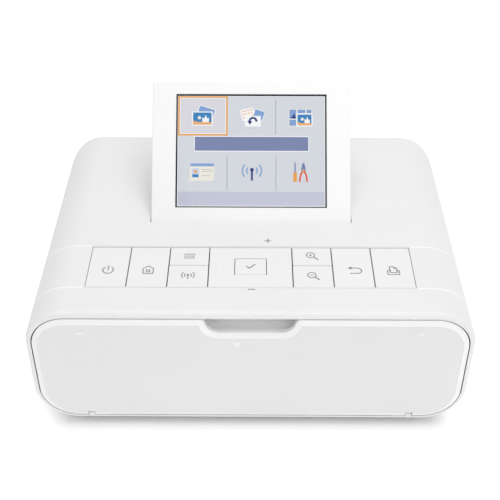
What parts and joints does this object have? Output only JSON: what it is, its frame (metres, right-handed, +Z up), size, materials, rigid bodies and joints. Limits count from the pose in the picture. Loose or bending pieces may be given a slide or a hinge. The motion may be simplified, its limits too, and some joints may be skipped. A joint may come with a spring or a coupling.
{
  "type": "photo printer",
  "caption": "Low rounded box photo printer with a raised tilting display, a strip of flat keys across the top, a drop-down front cover and a ribbon door in its side.",
  "frame": {"origin": "centre of the overall footprint, on the surface that the feet stand on", "axes": "+X to the right seen from the front, +Y to the back, +Z up; the front cover faces -Y"},
  "size_m": [0.1806, 0.136, 0.1086],
  "materials": {
    "case_white": "fine satin, white",
    "cover_white": "fine satin, white",
    "key_white": "fine satin, white",
    "display_white": "semi-gloss white",
    "window_clear": "clear acrylic",
    "lcd_panel": "lit colour panel",
    "dark_plastic": "moulded black plastic",
    "grey_plastic": "moulded grey plastic",
    "gear_plastic": "natural acetal",
    "ribbon_plastic": "pale grey moulding",
    "ribbon_film": "dye-coated film",
    "feed_rubber": "ground rubber",
    "foot_rubber": "grey rubber",
    "web_rubber": "silicone rubber",
    "steel": "ground steel",
    "plated_steel": "zinc-plated sheet",
    "screw_steel": "nickel-plated",
    "heatsink_aluminium": "extruded",
    "head_ceramic": "glazed",
    "bush_brass": "sintered",
    "board_green": "solder-masked laminate",
    "cable_amber": "polyimide film"
  },
  "bodies": {
    "case": {"outer_shell": "case_white", "control_fascia": "case_white", "base_plate": "case_white", "rear_panel": "case_white", "rubber_feet": "foot_rubber", "case_screws": "screw_steel", "keypad_board": "board_green", "keypad_cable": "cable_amber", "paper_bay": "dark_plastic", "chassis_pan": "plated_steel", "left_side_plate": "plated_steel", "right_side_plate": "plated_steel", "shaft_bushes": "bush_brass", "feed_motor": "plated_steel", "main_board": "board_green", "side_ports": "plated_steel", "card_socket": "plated_steel", "dc_inlet": "dark_plastic"},
    "front_cover_body": {"front_cover": "cover_white", "front_cover_pins": "steel"},
    "ribbon_door_body": {"ribbon_door": "case_white", "ribbon_door_pin": "steel"},
    "display_body": {"display_bezel": "display_white", "display_back": "display_white", "display_window": "window_clear", "lcd_module": "lcd_panel", "display_hinge_pins": "steel"},
    "power_key_body": {"power_key": "key_white"},
    "home_key_body": {"home_key": "key_white"},
    "menu_key_body": {"menu_key": "key_white"},
    "wireless_key_body": {"wireless_key": "key_white"},
    "zoom_in_key_body": {"zoom_in_key": "key_white"},
    "zoom_out_key_body": {"zoom_out_key": "key_white"},
    "back_key_body": {"back_key": "key_white"},
    "print_key_body": {"print_key": "key_white"},
    "ok_key_body": {"ok_key": "key_white"},
    "pad_web_body": {"pad_web": "web_rubber"},
    "direction_pad_body": {"direction_pad": "key_white"},
    "capstan": {"capstan_roller": "steel", "capstan_gear": "gear_plastic"},
    "pinch": {"pinch_shaft": "steel", "pinch_roller": "feed_rubber"},
    "platen": {"platen_shaft": "steel", "platen_rubber": "feed_rubber", "platen_gear": "gear_plastic"},
    "pickup": {"pickup_shaft": "steel", "pickup_roller": "feed_rubber", "pickup_gear": "gear_plastic"},
    "idler": {"pickup_idler": "gear_plastic"},
    "takeup_drive": {"takeup_gear": "gear_plastic"},
    "motor_rotor": {"motor_pinion": "gear_plastic"},
    "ribbon_cassette": {"ribbon_case": "ribbon_plastic", "ribbon_web": "ribbon_film"},
    "ribbon_supply": {"supply_spool": "ribbon_plastic", "supply_film_roll": "ribbon_film"},
    "ribbon_takeup": {"takeup_spool": "ribbon_plastic"},
    "print_head": {"head_arm": "plated_steel", "head_heatsink": "heatsink_aluminium", "thermal_strip": "head_ceramic"},
    "lock_lever": {"cassette_lock_lever": "grey_plastic"}
  },
  "joints": [
    {"name": "front_cover_hinge", "type": "hinge", "parent": "case", "child": "front_cover_body", "pos_m": [0, -0.0666, 0.0062], "axis": [1, 0, 0], "range_deg": [0, 90]},
    {"name": "ribbon_door_hinge", "type": "hinge", "parent": "case", "child": "ribbon_door_body", "pos_m": [0.08905, -0.01455, 0.034], "axis": [0, 0, -1], "range_deg": [0, 90]},
    {"name": "display_hinge", "type": "hinge", "parent": "case", "child": "display_body", "pos_m": [0, -0.0059, 0.0621], "axis": [1, 0, 0], "range_deg": [-46.7, 0]},
    {"name": "power_key_press", "type": "slide", "parent": "case", "child": "power_key_body", "axis": [0, 0, -1], "range_m": [0, 0.0005], "stiffness_N_per_m": 400, "springref_m": -0.001},
    {"name": "home_key_press", "type": "slide", "parent": "case", "child": "home_key_body", "axis": [0, 0, -1], "range_m": [0, 0.0005], "stiffness_N_per_m": 400, "springref_m": -0.001},
    {"name": "menu_key_press", "type": "slide", "parent": "case", "child": "menu_key_body", "axis": [0, 0, -1], "range_m": [0, 0.0005], "stiffness_N_per_m": 400, "springref_m": -0.001},
    {"name": "wireless_key_press", "type": "slide", "parent": "case", "child": "wireless_key_body", "axis": [0, 0, -1], "range_m": [0, 0.0005], "stiffness_N_per_m": 400, "springref_m": -0.001},
    {"name": "zoom_in_key_press", "type": "slide", "parent": "case", "child": "zoom_in_key_body", "axis": [0, 0, -1], "range_m": [0, 0.0005], "stiffness_N_per_m": 400, "springref_m": -0.001},
    {"name": "zoom_out_key_press", "type": "slide", "parent": "case", "child": "zoom_out_key_body", "axis": [0, 0, -1], "range_m": [0, 0.0005], "stiffness_N_per_m": 400, "springref_m": -0.001},
    {"name": "back_key_press", "type": "slide", "parent": "case", "child": "back_key_body", "axis": [0, 0, -1], "range_m": [0, 0.0005], "stiffness_N_per_m": 400, "springref_m": -0.001},
    {"name": "print_key_press", "type": "slide", "parent": "case", "child": "print_key_body", "axis": [0, 0, -1], "range_m": [0, 0.0005], "stiffness_N_per_m": 400, "springref_m": -0.001},
    {"name": "ok_key_press", "type": "slide", "parent": "case", "child": "ok_key_body", "axis": [0, 0, -1], "range_m": [0, 0.0005], "stiffness_N_per_m": 400, "springref_m": -0.001},
    {"name": "pad_rock_front_back", "type": "hinge", "parent": "case", "child": "pad_web_body", "pos_m": [0, -0.0375, 0.0604], "axis": [1, 0, 0], "range_deg": [-1.8, 1.8], "stiffness_Nm_per_rad": 0.02},
    {"name": "pad_rock_sideways", "type": "hinge", "parent": "pad_web_body", "child": "direction_pad_body", "pos_m": [0, -0.0375, 0.0604], "axis": [0, 1, 0], "range_deg": [-1.8, 1.8], "stiffness_Nm_per_rad": 0.02},
    {"name": "capstan_spin", "type": "hinge", "parent": "case", "child": "capstan", "pos_m": [0, -0.014, 0.0184], "axis": [1, 0, 0], "continuous": true},
    {"name": "pinch_spin", "type": "hinge", "parent": "case", "child": "pinch", "pos_m": [0, -0.014, 0.02625], "axis": [1, 0, 0], "continuous": true},
    {"name": "platen_spin", "type": "hinge", "parent": "case", "child": "platen", "pos_m": [0, 0.021, 0.0171], "axis": [1, 0, 0], "continuous": true},
    {"name": "pickup_spin", "type": "hinge", "parent": "case", "child": "pickup", "pos_m": [0, -0.036, 0.0495], "axis": [1, 0, 0], "continuous": true},
    {"name": "idler_spin", "type": "hinge", "parent": "case", "child": "idler", "pos_m": [0, -0.02405, 0.0374], "axis": [1, 0, 0], "continuous": true},
    {"name": "takeup_gear_spin", "type": "hinge", "parent": "case", "child": "takeup_drive", "pos_m": [0, 0.0415, 0.03505], "axis": [1, 0, 0], "continuous": true},
    {"name": "motor_spin", "type": "hinge", "parent": "case", "child": "motor_rotor", "pos_m": [0, 0.00339, 0.01486], "axis": [1, 0, 0], "continuous": true},
    {"name": "cassette_slide", "type": "slide", "parent": "case", "child": "ribbon_cassette", "axis": [1, 0, 0], "range_m": [0, 0.02]},
    {"name": "supply_spin", "type": "hinge", "parent": "ribbon_cassette", "child": "ribbon_supply", "pos_m": [0, 0, 0.0344], "axis": [1, 0, 0], "continuous": true},
    {"name": "takeup_spin", "type": "hinge", "parent": "ribbon_cassette", "child": "ribbon_takeup", "pos_m": [0, 0.0415, 0.03505], "axis": [1, 0, 0], "continuous": true},
    {"name": "print_head_press", "type": "hinge", "parent": "case", "child": "print_head", "pos_m": [0, -0.017, 0.05], "axis": [1, 0, 0], "range_deg": [-5.5, 0], "stiffness_Nm_per_rad": 0.5, "springref_deg": 8.59},
    {"name": "lock_lever_lift", "type": "hinge", "parent": "case", "child": "lock_lever", "pos_m": [0.068, 0.0576, 0.0496], "axis": [1, 0, 0], "range_deg": [-12, 0], "stiffness_Nm_per_rad": 0.01, "springref_deg": 11.46}
  ],
  "couplings": [
    {"joint": "motor_spin", "follows": "capstan_spin", "ratio": -1.4483},
    {"joint": "platen_spin", "follows": "capstan_spin", "ratio": 1},
    {"joint": "takeup_gear_spin", "follows": "capstan_spin", "ratio": -0.62687},
    {"joint": "takeup_spin", "follows": "capstan_spin", "ratio": -0.62687},
    {"joint": "supply_spin", "follows": "capstan_spin", "ratio": -0.29851},
    {"joint": "idler_spin", "follows": "capstan_spin", "ratio": -0.95455},
    {"joint": "pickup_spin", "follows": "capstan_spin", "ratio": 1.75},
    {"joint": "pinch_spin", "follows": "capstan_spin", "ratio": -1.1429}
  ]
}
